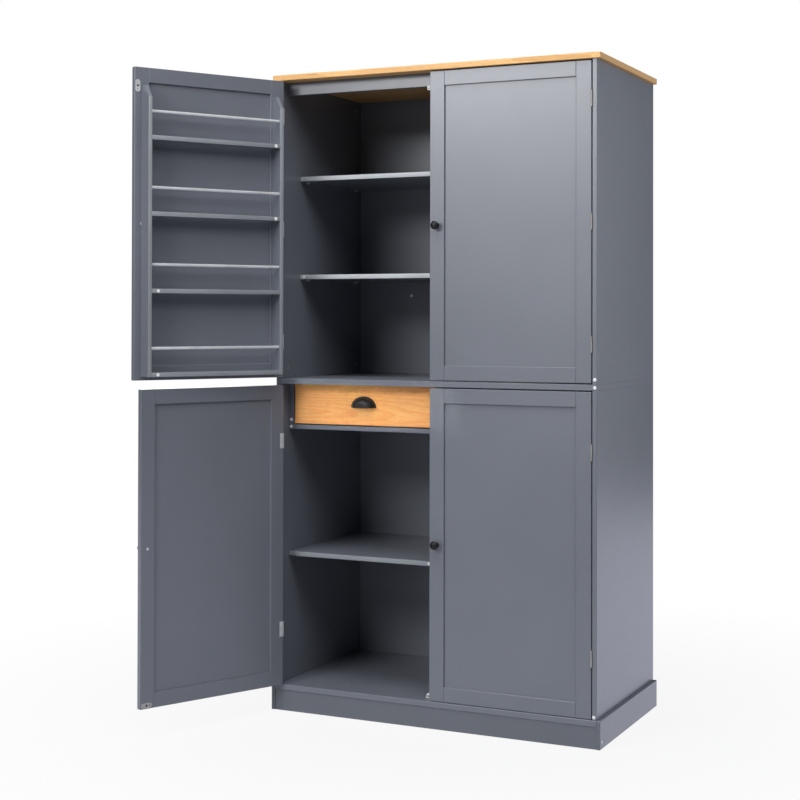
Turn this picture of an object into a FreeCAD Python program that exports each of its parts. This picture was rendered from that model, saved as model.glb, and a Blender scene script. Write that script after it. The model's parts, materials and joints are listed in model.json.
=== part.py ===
"""Tall pantry cupboard: two tiers of inset doors, a drawer, shelves and door racks under an oak top.

Millimetres, +Z up. The origin is on the floor at the middle of the top board's outline.
The front faces -Y. The left doors stand open, as they do when the cupboard is in use.
"""
import FreeCAD, Part
import math
import os

os.makedirs("parts", exist_ok=True)
Vector = FreeCAD.Vector

# Overall size
overall_height = 1700.0
top_width = 920.0
top_depth = 488.0
top_thickness = 15.0

# Carcass boards
side_overhang = 10.0          # top board and plinth ends beyond the side panels
carcass_width = top_width - 2 * side_overhang
front_overhang = 6.0          # the top board in front of the doors
side_thickness = 12.0
deck_thickness = 15.0         # middle panel and bottom panel
middle_height = 872.0         # underside of the middle panel above the floor
back_thickness = 5.0
back_recess = 3.0             # back panels behind the rear edges of the sides
board_edge = 0.8              # small flat on every board edge

# Plinth
plinth_height = 55.0
plinth_thickness = 15.0
base_overhang = 4.0           # bottom panel and plinth ends in front of the doors
plinth_setback = 2.0          # plinth front behind the bottom panel's front edge
stretcher_setback = 40.0      # rear stretcher in from the back

# Rail under the top board
rail_height = 35.0
rail_thickness = 15.0

# Shelves
shelf_thickness = 12.0
upper_shelf_lifts = (2.0, 5.0)   # undersides above even thirds of the upper space
upper_shelf_setback = 108.0   # behind the door fronts
lower_shelf_lift = 2.5        # above the middle of the space under the drawer shelf
lower_setback = 48.0          # lower shelf, drawer and filler behind the door fronts
shelf_play = 0.5              # each end of a loose shelf
pin_diameter = 5.0
pin_length = 16.0
pin_inset = 38.0              # pins in from the shelf's front and back edges

# Cam locks inside the upper side panels
cam_lock_diameter = 12.0
cam_lock_proud = 1.0
cam_rise = 28.0               # from the end of the panel
cam_inset = 42.0              # from the panel's long edges
cam_rail_clearance = 12.0     # behind the rail under the top board

# Doors
door_thickness = 15.0
door_gap = 3.0                # above each door and below the upper ones
foot_gap = 1.0                # below the lower doors
hinge_gap = 2.5               # between a door and its side panel
meeting_gap = 4.0             # between a pair of doors
stile_width = 40.0
door_rail_width = 38.0
door_panel_thickness = 5.0
groove_depth = 6.0            # panel edges in the frame
upper_left_angle = 120.0      # how far each left door stands open
lower_left_angle = 115.0

# Hinges
hinge_height = 40.0
barrel_radius = 2.2
hinge_pin_radius = 1.0
pin_play = 0.05               # radial, in the knuckle that turns
leaf_thickness = 0.9
knuckle_play = 0.3            # between knuckles, and between a barrel and the wood
frame_leaf_depth = 12.0
door_flange_width = 12.0
upper_hinge_inset = 95.0      # from each end of an upper door to the middle of its outer hinge
lower_hinge_inset = 148.0

# Knobs
knob_diameter = 22.0
knob_projection = 23.0
knob_stem_diameter = 10.0
knob_head_depth = 15.0        # flared head, measured back from the tip
knob_crown = 6.0              # rounding at the tip
knob_screw_diameter = 4.0
knob_screw_head = 8.0
screw_head_depth = 2.5        # head sunk flush with the inside of the door
screw_play = 0.1              # radial, of a screw in the wood

# Catches and strike plates
catch_width = 26.0            # housing
catch_height = 13.0           # housing and mounting plate
catch_depth = 28.0
catch_ear = 8.0               # mounting plate beyond each side of the housing
catch_plate_depth = 14.0
catch_plate_thickness = 3.0
catch_play = 0.5              # between a catch and the strike plate on a closed door
catch_seat = 6.5              # of the upper catch under the rail
strike_thickness = 1.0
strike_length = 31.0
strike_width = 13.0
strike_margin = 2.0           # in from the door's free edge

# Drawer
filler_thickness = 15.0
divider_thickness = 15.0
drawer_bay_height = 111.0     # between the drawer shelf and the middle panel
drawer_gap = 3.0              # beside and below the drawer front
drawer_top_gap = 1.5          # above the drawer front
drawer_front_thickness = 15.0
drawer_back_gap = 31.0        # between the drawer box and the back panel
drawer_board = 12.0
drawer_bottom_thickness = 5.0
drawer_box_height = 74.0
drawer_groove = 5.0           # drawer bottom in the box sides
runner_thickness = 2.0
runner_width = 13.0
runner_height = 26.0
runner_back_gap = 68.0        # between the runners and the back panel
runner_play = 0.4

# Cup pull
pull_width = 74.0
pull_height = 30.0
pull_projection = 22.0
pull_wall = 2.0
pull_rim = 4.0                # flat rim around the cup
pull_bend = 16.0              # rounding between the cup's sides and its face
pull_rise = 9.0               # above the middle of the drawer front

# Door racks
rack_depth = 42.0
rack_hinge_margin = 25.0      # in from the door's hinged edge
rack_free_margin = 19.0       # in from the door's free edge
rack_side_thickness = 10.0
rack_shelf_thickness = 11.0
rack_foot = 9.5               # rack above the door's lower edge
rack_catch_gap = 3.0          # between a closed rack and the catch above it
rack_top_space = 138.0        # from the top shelf's underside to the top of the rack
rack_shelf_lifts = (0.0, 12.0, 7.0, 0.0)   # undersides above even spacing, from the lowest shelf up
rack_bevel_height = 31.0
rack_bevel_depth = 23.0
rod_diameter = 8.0
rod_rise = 61.0               # above each rack shelf
rod_setback = 8.0             # behind the rack's front edge
rod_seat = 5.0                # rod ends in the rack sides

# Places that follow from the sizes above
half_width = carcass_width / 2
inner_half = half_width - side_thickness
back_y = top_depth / 2
front_y = -back_y + front_overhang
base_front_y = front_y - base_overhang
plinth_back_y = base_front_y + plinth_setback + plinth_thickness
back_panel_y = back_y - back_recess - back_thickness
bottom_top = plinth_height + deck_thickness
middle_top = middle_height + deck_thickness
top_underside = overall_height - top_thickness
door_inside_y = front_y + door_thickness
lower_front_y = front_y + lower_setback
drawer_shelf_top = middle_height - drawer_bay_height
runner_floor = drawer_shelf_top + drawer_gap
drawer_front_back_y = lower_front_y + drawer_front_thickness
hinge_x = -inner_half + hinge_gap / 2
hinge_y = front_y - barrel_radius - knuckle_play / 2
door_left = -inner_half + hinge_gap
door_right = -meeting_gap / 2
catch_front_y = door_inside_y + strike_thickness + catch_play
rail_y = catch_front_y + catch_depth - catch_seat
rail_bottom = top_underside - rail_height
drawer_length = back_panel_y - drawer_back_gap - drawer_front_back_y
runner_y = drawer_front_back_y + drawer_gap
runner_length = back_panel_y - runner_back_gap - runner_y


def board(x0, x1, y0, y1, z0, z1, edge=board_edge):
    """Flat board with a small flat along every edge."""
    block = Part.makeBox(x1 - x0, y1 - y0, z1 - z0, Vector(x0, y0, z0))
    if edge <= 0:
        return block
    return block.makeChamfer(edge, block.Edges)


def rod(radius, start, direction, length):
    return Part.makeCylinder(radius, length, Vector(*start), Vector(*direction))


def mirrored(shape):
    """The same piece on the other side of the cupboard."""
    return shape.mirror(Vector(0, 0, 0), Vector(1, 0, 0))


def pair(shape):
    return [shape, mirrored(shape)]


def save(node, *solids):
    """Write one node: a single piece, or a group of like pieces."""
    shape = solids[0] if len(solids) == 1 else Part.makeCompound(list(solids))
    shape.exportStep("parts/" + node + ".step")


def pin_places(shelf_front, shelf_back):
    return shelf_front + pin_inset, shelf_back - pin_inset


def shelf_pin(y, z):
    """Left-hand pin: half in the side panel, half under the shelf, whose underside is at z."""
    radius = pin_diameter / 2
    return rod(radius, (-inner_half - pin_length / 2, y, z - radius), (1, 0, 0), pin_length)


def outer_boards():
    save("top_board", board(-top_width / 2, top_width / 2, -back_y, back_y, top_underside, overall_height))
    save("middle_panel", board(-half_width, half_width, front_y, back_y, middle_height, middle_top))
    save("bottom_panel", board(-half_width, half_width, base_front_y, back_y, plinth_height, bottom_top))
    for node, z0, z1 in (("upper_back_panel", middle_top, top_underside),
                         ("lower_back_panel", bottom_top, middle_height)):
        save(node, board(-inner_half, inner_half, back_panel_y, back_y - back_recess, z0, z1, 0))
    save("top_front_rail", board(-inner_half, inner_half, rail_y, rail_y + rail_thickness,
                                 rail_bottom, top_underside))


def side_panels(upper_pins, lower_pins):
    """Upper and lower sides, drilled for the shelf pins."""
    for tier, z0, z1, pins in (("upper", middle_top, top_underside, upper_pins),
                               ("lower", bottom_top, middle_height, lower_pins)):
        left = board(-half_width, -inner_half, front_y, back_y, z0, z1)
        for pin in pins:
            left = left.cut(pin)
        save(tier + "_left_side", left)
        save(tier + "_right_side", mirrored(left))


def plinth():
    front = board(-half_width, half_width, plinth_back_y - plinth_thickness, plinth_back_y, 0, plinth_height)
    save("plinth_front", front)
    end = board(-half_width - side_overhang, -half_width, base_front_y, back_y, 0, bottom_top)
    save("plinth_ends", *pair(end))
    rear_y = back_y - stretcher_setback
    rear = board(-half_width, half_width, rear_y - plinth_thickness, rear_y, 0, plinth_height)
    middle = board(-plinth_thickness / 2, plinth_thickness / 2, plinth_back_y,
                   rear_y - plinth_thickness, 0, plinth_height)
    save("plinth_stretchers", rear, middle)


def shelves():
    """Three loose shelves on pins and the fixed drawer shelf; returns the left-hand pins of each tier."""
    loose_half = inner_half - shelf_play
    upper_front = front_y + upper_shelf_setback
    loose_back = back_panel_y - shelf_play
    upper_pins = []
    third = (top_underside - middle_top) / 3
    for step, node in ((1, "upper_shelf_low"), (2, "upper_shelf_high")):
        z = middle_top + step * third + upper_shelf_lifts[step - 1]
        save(node, board(-loose_half, loose_half, upper_front, loose_back, z, z + shelf_thickness))
        upper_pins += [shelf_pin(y, z) for y in pin_places(upper_front, loose_back)]
    lower_space = drawer_shelf_top - shelf_thickness - bottom_top
    z = bottom_top + (lower_space - shelf_thickness) / 2 + lower_shelf_lift
    save("lower_shelf", board(-loose_half, loose_half, lower_front_y, loose_back, z, z + shelf_thickness))
    lower_pins = [shelf_pin(y, z) for y in pin_places(lower_front_y, loose_back)]
    save("drawer_shelf", board(-inner_half, inner_half, lower_front_y, back_panel_y,
                               drawer_shelf_top - shelf_thickness, drawer_shelf_top))
    left_pins = upper_pins + lower_pins
    save("shelf_pins", *left_pins, *[mirrored(pin) for pin in left_pins])
    return upper_pins, lower_pins


def drawer_bay():
    """Filler beside the drawer, divider between it and the open bay, and the runners under its box."""
    filler_x = -inner_half + filler_thickness
    divider_x = -divider_thickness / 2
    save("drawer_filler", board(-inner_half, filler_x, lower_front_y, back_panel_y,
                                drawer_shelf_top, middle_height))
    save("drawer_divider", board(divider_x, -divider_x, runner_y, back_panel_y,
                                 drawer_shelf_top, middle_height))
    save("drawer_runners", runner(filler_x, 1), runner(divider_x, -1))


def runner(wall_x, inward):
    """Steel angle on a wall at wall_x; inward is +1 when the drawer lies towards +X."""
    def leg(width, height):
        x = min(wall_x, wall_x + inward * width)
        return Part.makeBox(width, runner_length, height, Vector(x, runner_y, runner_floor))
    return leg(runner_thickness, runner_height).fuse(leg(runner_width, runner_thickness)).removeSplitter()


def cup_pull(x_middle, z_bottom, face_y):
    """Half-oval cup, open below, inside a flat rim, on a drawer front whose face is at face_y."""
    def outline(radius, depth, bend):
        """Rounding of the cup's section, and the points where its side and its face begin."""
        turn = Vector(radius - bend, 0, depth - bend)
        corner = turn + Vector(bend * math.sin(math.pi / 4), 0, bend * math.sin(math.pi / 4))
        side = turn + Vector(bend, 0, 0)
        face = turn + Vector(0, 0, bend)
        return Part.Arc(side, corner, face).toShape(), side, face

    cup_radius = pull_height - pull_rim
    outer_arc, outer_side, outer_face = outline(cup_radius, pull_projection, pull_bend)
    inner_arc, inner_side, inner_face = outline(cup_radius - pull_wall, pull_projection - pull_wall,
                                                pull_bend - pull_wall)
    rim = [Vector(cup_radius - pull_wall, 0, 0), Vector(pull_height, 0, 0),
           Vector(pull_height, 0, pull_wall), Vector(cup_radius, 0, pull_wall), outer_side]
    face = [outer_face, Vector(0, 0, pull_projection),
            Vector(0, 0, pull_projection - pull_wall), inner_face]
    edges = Part.makePolygon(rim).Edges + [outer_arc] + Part.makePolygon(face).Edges + [inner_arc]
    edges += [Part.makeLine(inner_side, rim[0])]
    section = Part.Face(Part.Wire(Part.__sortEdges__(edges)))
    cup = section.revolve(Vector(0, 0, 0), Vector(0, 0, 1), 180)
    cup.rotate(Vector(0, 0, 0), Vector(1, 0, 0), 90)
    stretch = FreeCAD.Matrix()
    stretch.scale(Vector(pull_width / (2 * pull_height), 1, 1))
    cup = cup.transformGeometry(stretch)
    cup.translate(Vector(x_middle, face_y, z_bottom))
    return cup


def drawer():
    """Drawer behind the lower left door: oak front, box, bottom and pull."""
    front_x0 = -inner_half + filler_thickness + drawer_gap
    front_x1 = door_right
    front_z0 = drawer_shelf_top + drawer_gap
    front_z1 = middle_height - drawer_top_gap
    save("drawer_front", board(front_x0, front_x1, lower_front_y, drawer_front_back_y, front_z0, front_z1))
    box_x0 = -inner_half + filler_thickness + runner_thickness + runner_play
    box_x1 = -divider_thickness / 2 - runner_thickness - runner_play
    box_z0 = runner_floor + runner_thickness + runner_play
    box_z1 = box_z0 + drawer_box_height
    box_back = drawer_front_back_y + drawer_length
    inset = drawer_board - drawer_groove
    side_x0 = box_x0 + drawer_board
    side_x1 = box_x1 - drawer_board
    bottom = Part.makeBox(box_x1 - box_x0 - 2 * inset, drawer_length - drawer_board,
                          drawer_bottom_thickness,
                          Vector(box_x0 + inset, drawer_front_back_y, box_z0 + drawer_groove))
    sides = [board(x0, x1, drawer_front_back_y, box_back, box_z0, box_z1)
             for x0, x1 in ((box_x0, side_x0), (side_x1, box_x1))]
    save("drawer_sides", *[side.cut(bottom) for side in sides])
    save("drawer_back", board(side_x0, side_x1, box_back - drawer_board, box_back, box_z0, box_z1))
    save("drawer_bottom", bottom)
    pull_z = (front_z0 + front_z1 - pull_height) / 2 + pull_rise
    save("drawer_pull", cup_pull((front_x0 + front_x1) / 2, pull_z, lower_front_y))


def knuckle(z0, z1, hole_radius):
    barrel = rod(barrel_radius, (hinge_x, hinge_y, z0), (0, 0, 1), z1 - z0)
    return barrel, rod(hole_radius, (hinge_x, hinge_y, z0), (0, 0, 1), z1 - z0)


def hinge(z_middle):
    """Left-hand hinge on a closed door: frame leaf, door leaf and pin."""
    third = hinge_height / 3
    z0 = z_middle - hinge_height / 2
    leaf_y = hinge_y + barrel_radius + knuckle_play
    spans = [(z0, z0 + third - knuckle_play / 2),
             (z0 + third + knuckle_play / 2, z0 + 2 * third - knuckle_play / 2),
             (z0 + 2 * third + knuckle_play / 2, z0 + hinge_height)]

    def plate(x, y0, y1, low, high):
        return Part.makeBox(leaf_thickness, y1 - y0, high - low, Vector(x, y0, low))

    frame_x = -inner_half
    frame_leaf = plate(frame_x, leaf_y, front_y + frame_leaf_depth, z0, z0 + hinge_height)
    for low, high in (spans[0], spans[2]):
        barrel, hole = knuckle(low, high, hinge_pin_radius)
        frame_leaf = frame_leaf.fuse([barrel, plate(frame_x, hinge_y, leaf_y, low, high)]).cut(hole)
    door_x = door_left - leaf_thickness
    door_leaf = plate(door_x, leaf_y, door_inside_y + leaf_thickness, z0, z0 + hinge_height)
    flange = Part.makeBox(door_flange_width, leaf_thickness, hinge_height, Vector(door_x, door_inside_y, z0))
    low, high = spans[1]
    barrel, hole = knuckle(low, high, hinge_pin_radius + pin_play)
    door_leaf = door_leaf.fuse([flange, barrel, plate(door_x, hinge_y, leaf_y, low, high)]).cut(hole)
    pin = rod(hinge_pin_radius, (hinge_x, hinge_y, z0), (0, 0, 1), hinge_height)
    return frame_leaf.removeSplitter(), door_leaf.removeSplitter(), pin


def knob(x, z):
    """Turned knob on the door's face, the screw that holds it from inside, and the screw's hole."""
    stem_radius = knob_stem_diameter / 2
    head_radius = knob_diameter / 2
    neck = knob_projection - knob_head_depth
    brow = knob_projection - knob_crown
    tip_radius = head_radius - knob_crown
    points = [Vector(0, 0, 0), Vector(stem_radius, 0, 0), Vector(stem_radius, 0, neck),
              Vector(head_radius, 0, brow)]
    slant = knob_crown * math.sin(math.pi / 4)
    bend = Vector(tip_radius + slant, 0, brow + slant)
    tip = [Vector(tip_radius, 0, knob_projection), Vector(0, 0, knob_projection), points[0]]
    outline = Part.makePolygon(points).Edges
    outline += [Part.Arc(points[-1], bend, tip[0]).toShape()]
    outline += Part.makePolygon(tip).Edges
    body = Part.Face(Part.Wire(outline)).revolve(Vector(0, 0, 0), Vector(0, 0, 1), 360)
    body.rotate(Vector(0, 0, 0), Vector(1, 0, 0), 90)
    body.translate(Vector(x, front_y, z))
    shank_radius = knob_screw_diameter / 2
    reach = door_thickness + neck
    shank = rod(shank_radius, (x, door_inside_y, z), (0, -1, 0), reach)
    head = rod(knob_screw_head / 2, (x, door_inside_y, z), (0, -1, 0), screw_head_depth)
    hole = rod(shank_radius + screw_play, (x, door_inside_y, z), (0, -1, 0), reach + screw_play)
    recess = rod(knob_screw_head / 2 + screw_play, (x, door_inside_y, z), (0, -1, 0), screw_head_depth)
    hole = hole.fuse(recess).removeSplitter()
    return body.cut(hole), shank.fuse(head).removeSplitter(), hole


def strike_plate(tier, z0):
    """Steel plate inside the free stile, where the catch meets the closed door."""
    x1 = door_right - strike_margin
    if tier == "upper":
        return Part.makeBox(strike_width, strike_thickness, strike_length,
                            Vector(x1 - strike_width, door_inside_y, rail_bottom - strike_length))
    return Part.makeBox(strike_length, strike_thickness, strike_width,
                        Vector(x1 - strike_length, door_inside_y, z0 + strike_margin))


def rack(z0):
    """Spice rack inside a closed left door: two sides, four shelves and four retaining rods."""
    y0 = door_inside_y
    y1 = y0 + rack_depth
    x0 = door_left + rack_hinge_margin
    x1 = door_right - rack_free_margin
    bottom = z0 + rack_foot
    top = rail_bottom - catch_height - rack_catch_gap
    corners = [(y0, bottom), (y1, bottom), (y1, top - rack_bevel_height), (y1 - rack_bevel_depth, top),
               (y0, top), (y0, bottom)]
    profile = Part.Face(Part.makePolygon([Vector(x0, y, z) for y, z in corners]))
    spacing = (top - rack_top_space - bottom) / (len(rack_shelf_lifts) - 1)
    shelf_x0 = x0 + rack_side_thickness
    shelf_x1 = x1 - rack_side_thickness
    trays = []
    rods = []
    for step, lift in enumerate(rack_shelf_lifts):
        z = bottom + step * spacing + lift
        trays.append(board(shelf_x0, shelf_x1, y0, y1, z, z + rack_shelf_thickness))
        rod_start = (shelf_x0 - rod_seat, y1 - rod_setback, z + rack_shelf_thickness + rod_rise)
        rods.append(rod(rod_diameter / 2, rod_start, (1, 0, 0), shelf_x1 - shelf_x0 + 2 * rod_seat))
    hinge_side = profile.extrude(Vector(rack_side_thickness, 0, 0))
    free_side = hinge_side.copy()
    free_side.translate(Vector(x1 - x0 - rack_side_thickness, 0, 0))
    return [hinge_side.cut(rods), free_side.cut(rods)], trays, rods


def door(tier, place, name, hinge_heights):
    """One inset door: framed panel, knob, hinge leaves, strike plate and, on an upper door, its rack."""
    z0, z1 = (bottom_top + foot_gap, middle_height) if tier == "lower" else (middle_top + door_gap, top_underside)
    z1 -= door_gap
    panel_y = front_y + (door_thickness - door_panel_thickness) / 2
    inset_x = stile_width - groove_depth
    inset_z = door_rail_width - groove_depth
    panel = Part.makeBox(door_right - door_left - 2 * inset_x, door_panel_thickness, z1 - z0 - 2 * inset_z,
                         Vector(door_left + inset_x, panel_y, z0 + inset_z))
    knob_body, knob_screw, knob_hole = knob(door_right - stile_width / 2, (z0 + z1) / 2)
    hinge_stile = board(door_left, door_left + stile_width, front_y, door_inside_y, z0, z1)
    free_stile = board(door_right - stile_width, door_right, front_y, door_inside_y, z0, z1)
    stiles = [hinge_stile.cut(panel), free_stile.cut([panel, knob_hole])]
    rails = [board(door_left + stile_width, door_right - stile_width, front_y, door_inside_y, low, high)
             .cut(panel) for low, high in ((z0, z0 + door_rail_width), (z1 - door_rail_width, z1))]
    leaves = [hinge(z)[1] for z in hinge_heights]
    pieces = {"stiles": stiles, "rails": rails, "panel": [panel], "knob": [knob_body, knob_screw],
              "hinge_leaves": leaves, "strike_plate": [strike_plate(tier, z0)]}
    if tier == "upper":
        pieces["rack_sides"], pieces["rack_shelves"], pieces["rack_rods"] = rack(z0)
    for piece, solids in pieces.items():
        save(name + "_" + piece, *[place(solid) for solid in solids])


def opened(angle):
    """Turns a left door about its hinge line by angle, free end towards the viewer."""
    def place(shape):
        turned = shape.copy()
        turned.rotate(Vector(hinge_x, hinge_y, 0), Vector(0, 0, 1), -angle)
        return turned
    return place


def doors_and_hinges():
    upper_low = middle_top + door_gap + upper_hinge_inset
    upper_high = top_underside - door_gap - upper_hinge_inset
    upper_heights = [upper_low, (upper_low + upper_high) / 2, upper_high]
    lower_heights = [bottom_top + foot_gap + lower_hinge_inset, middle_height - door_gap - lower_hinge_inset]
    door("upper", opened(upper_left_angle), "upper_left_door", upper_heights)
    door("lower", opened(lower_left_angle), "lower_left_door", lower_heights)
    door("upper", mirrored, "upper_right_door", upper_heights)
    door("lower", mirrored, "lower_right_door", lower_heights)
    hinges = [hinge(z) for z in upper_heights + lower_heights]
    frame_leaves = [each[0] for each in hinges]
    pins = [each[2] for each in hinges]
    save("hinge_frame_leaves", *frame_leaves, *[mirrored(leaf) for leaf in frame_leaves])
    save("hinge_pins", *pins, *[mirrored(pin) for pin in pins])


def catches():
    """Double magnetic catches at the middle, under the top rail and on the bottom panel."""
    half = catch_width / 2
    back = catch_front_y + catch_depth

    def catch(foot, away):
        """Housing on a mounting plate with two ears; foot is what carries it, away is +1 when it stands up."""
        def span(near, far):
            return sorted((foot + away * near, foot + away * far))
        housing = board(-half, half, catch_front_y, back, *span(catch_plate_thickness, catch_height))
        plate = board(-half - catch_ear, half + catch_ear, back - catch_plate_depth, back,
                      *span(0, catch_plate_thickness), 0)
        return housing.fuse(plate).removeSplitter()

    save("magnetic_catches", catch(rail_bottom, -1), catch(bottom_top, 1))


def cam_locks():
    """Round ends of the cam locks inside the upper side panels, where these are drawn to the boards."""
    front = front_y + cam_inset
    behind_rail = rail_y + rail_thickness + cam_rail_clearance
    back = back_y - cam_inset
    places = [(y, middle_top + cam_rise) for y in (front, back)]
    places += [(y, top_underside - cam_rise) for y in (behind_rail, back)]
    locks = [rod(cam_lock_diameter / 2, (-inner_half, y, z), (1, 0, 0), cam_lock_proud) for y, z in places]
    save("cam_locks", *locks, *[mirrored(lock) for lock in locks])


outer_boards()
plinth()
side_panels(*shelves())
drawer_bay()
drawer()
doors_and_hinges()
catches()
cam_locks()
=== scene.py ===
# %% [markdown]
# # A tall pantry cupboard
# The real object is a fibreboard cupboard in two tiers, sprayed a satin slate grey, with an oak top, an oak drawer
# front, black knobs and a black cup pull. The left doors stand open, and a spice rack hangs inside the upper one.
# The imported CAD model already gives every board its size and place, so this script only dresses it: finishes, small
# fittings, light and a camera. Blender's start-up cube, lamp and camera go first, because they would count as pieces.

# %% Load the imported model
import bpy
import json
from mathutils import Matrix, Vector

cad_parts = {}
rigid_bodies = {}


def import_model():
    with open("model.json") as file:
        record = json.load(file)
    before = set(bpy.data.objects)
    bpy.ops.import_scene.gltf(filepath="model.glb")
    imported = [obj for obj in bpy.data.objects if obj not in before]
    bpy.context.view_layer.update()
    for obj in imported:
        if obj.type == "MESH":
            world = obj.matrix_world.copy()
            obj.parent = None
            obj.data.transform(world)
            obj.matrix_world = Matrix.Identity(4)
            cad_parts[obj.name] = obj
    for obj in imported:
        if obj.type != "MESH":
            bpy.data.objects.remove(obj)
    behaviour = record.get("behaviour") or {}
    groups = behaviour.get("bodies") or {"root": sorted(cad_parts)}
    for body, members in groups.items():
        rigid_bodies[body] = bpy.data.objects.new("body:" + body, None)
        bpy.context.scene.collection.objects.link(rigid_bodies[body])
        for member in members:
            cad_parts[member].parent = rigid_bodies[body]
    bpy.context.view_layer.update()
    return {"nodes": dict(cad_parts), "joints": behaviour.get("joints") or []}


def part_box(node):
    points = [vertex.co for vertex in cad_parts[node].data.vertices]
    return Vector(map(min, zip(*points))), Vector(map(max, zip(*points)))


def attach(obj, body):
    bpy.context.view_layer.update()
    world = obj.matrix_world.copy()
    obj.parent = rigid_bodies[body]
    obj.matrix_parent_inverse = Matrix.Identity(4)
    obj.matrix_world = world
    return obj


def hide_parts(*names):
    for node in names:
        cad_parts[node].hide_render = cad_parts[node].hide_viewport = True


for leftover in list(bpy.data.objects):
    bpy.data.objects.remove(leftover)
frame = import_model()

# %% [markdown]
# ## The camera
# A long lens a little above the middle shelf took the photograph. Its focal length and place were found by matching
# the corners of the cupboard. The uprights stay parallel in the picture because the lens was nearly level and the
# picture was cropped low, so the camera is kept level too and the crop becomes a vertical shift.

# %% Camera
import math
from mathutils import Matrix, Vector

IMAGE_PIXELS = 800
FOCAL_PIXELS = 1557.3       # focal length in pixels of the photograph
AXIS_ROW = 303.2            # row of the photograph that the lens axis meets
SENSOR_WIDTH = 36.0
CAMERA_PLACE = Vector((1.655, -3.871, 1.0486))
YAW, TILT_UP, ROLL = (math.radians(angle) for angle in (25.56, 0.55, 0.11))

lens = bpy.data.cameras.new("photo_camera")
lens.sensor_fit, lens.sensor_width = "HORIZONTAL", SENSOR_WIDTH
lens.lens = FOCAL_PIXELS * SENSOR_WIDTH / IMAGE_PIXELS
lens.shift_y = (AXIS_ROW - IMAGE_PIXELS / 2) / IMAGE_PIXELS
camera = bpy.data.objects.new("photo_camera", lens)
camera.matrix_world = (Matrix.Translation(CAMERA_PLACE) @ Matrix.Rotation(YAW, 4, "Z")
                       @ Matrix.Rotation(math.pi / 2 + TILT_UP, 4, "X") @ Matrix.Rotation(ROLL, 4, "Z"))
bpy.context.scene.collection.objects.link(camera)
bpy.context.scene.camera = camera
bpy.context.scene.view_settings.view_transform = "Standard"
print(f"camera: {lens.lens:.1f} mm lens, shift {lens.shift_y:.3f}")

# %% [markdown]
# ## Tools for the finishes
# Every finish is a small node tree. One function turns sRGB hex colours into the linear numbers that sockets take, and
# one adds a node with its settings and links, so a finish reads from top to bottom like a recipe. Sizes are in metres.

# %% Colour, node and finish helpers
MM = 0.001


def linear(hex_colour):
    """sRGB hex to the linear colour that a socket takes."""
    parts = [int(hex_colour[i:i + 2], 16) / 255 for i in (1, 3, 5)]
    return tuple(p / 12.92 if p <= 0.04045 else ((p + 0.055) / 1.055) ** 2.4 for p in parts) + (1.0,)


def add(tree, kind, inputs=None, **settings):
    """Adds one node. An input is a plain value or another node's output socket."""
    made = tree.nodes.new(kind)
    for name, value in settings.items():
        setattr(made, name, value)
    for socket, value in (inputs or {}).items():
        if isinstance(value, bpy.types.NodeSocket):
            tree.links.new(value, made.inputs[socket])
        else:
            made.inputs[socket].default_value = value
    return made


def new_finish(name, **constants):
    """A material with one shader, whose constant sockets are set directly."""
    material = bpy.data.materials.new(name)
    material.use_nodes = True
    tree = material.node_tree
    shader = tree.nodes["Principled BSDF"]
    for socket, value in constants.items():
        shader.inputs[socket.replace("_", " ")].default_value = value
    where = add(tree, "ShaderNodeTexCoord").outputs["Object"]
    return material, tree, shader, where


print("mid grey #808080 in linear light", [round(part, 3) for part in linear("#808080")[:3]])

# %% [markdown]
# ## Satin paint on fibreboard
# The boards are medium-density fibreboard, sprayed slate grey. A spray coat dries with a very fine orange-peel ripple
# and slow changes of tone and gloss, and a clear coat on top gives the sheen. The edges are mixed towards a paler grey,
# partly for rubbing and partly as a painted highlight. The plinth looks a shade darker, so its boards get a darker copy
# of the coat, as painted shade near the floor. An image of paint would need unwrapped boards, so noise in object space
# is used instead. The Bevel node rounds the edges in the shading only, by the 1.5 mm that a sanded board has, and where
# it bends the normal it also finds the edges for the paler mix.

# %% Paint
# The paler grey that the edges are mixed towards stands partly for wear and partly for a painted highlight.
TONE_SIZE, MOTTLE_SIZE, BOARD_ROUNDING, RUBBED_AND_HIGHLIT = 350 * MM, 14 * MM, 1.5 * MM, "#989CA3"
# Real orange peel is about 2 mm across. It is drawn at 5 mm, because a pixel of the picture covers 2.6 mm.
PEEL_SIZE, PEEL_HEIGHT = 5 * MM, 0.05 * MM
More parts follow.
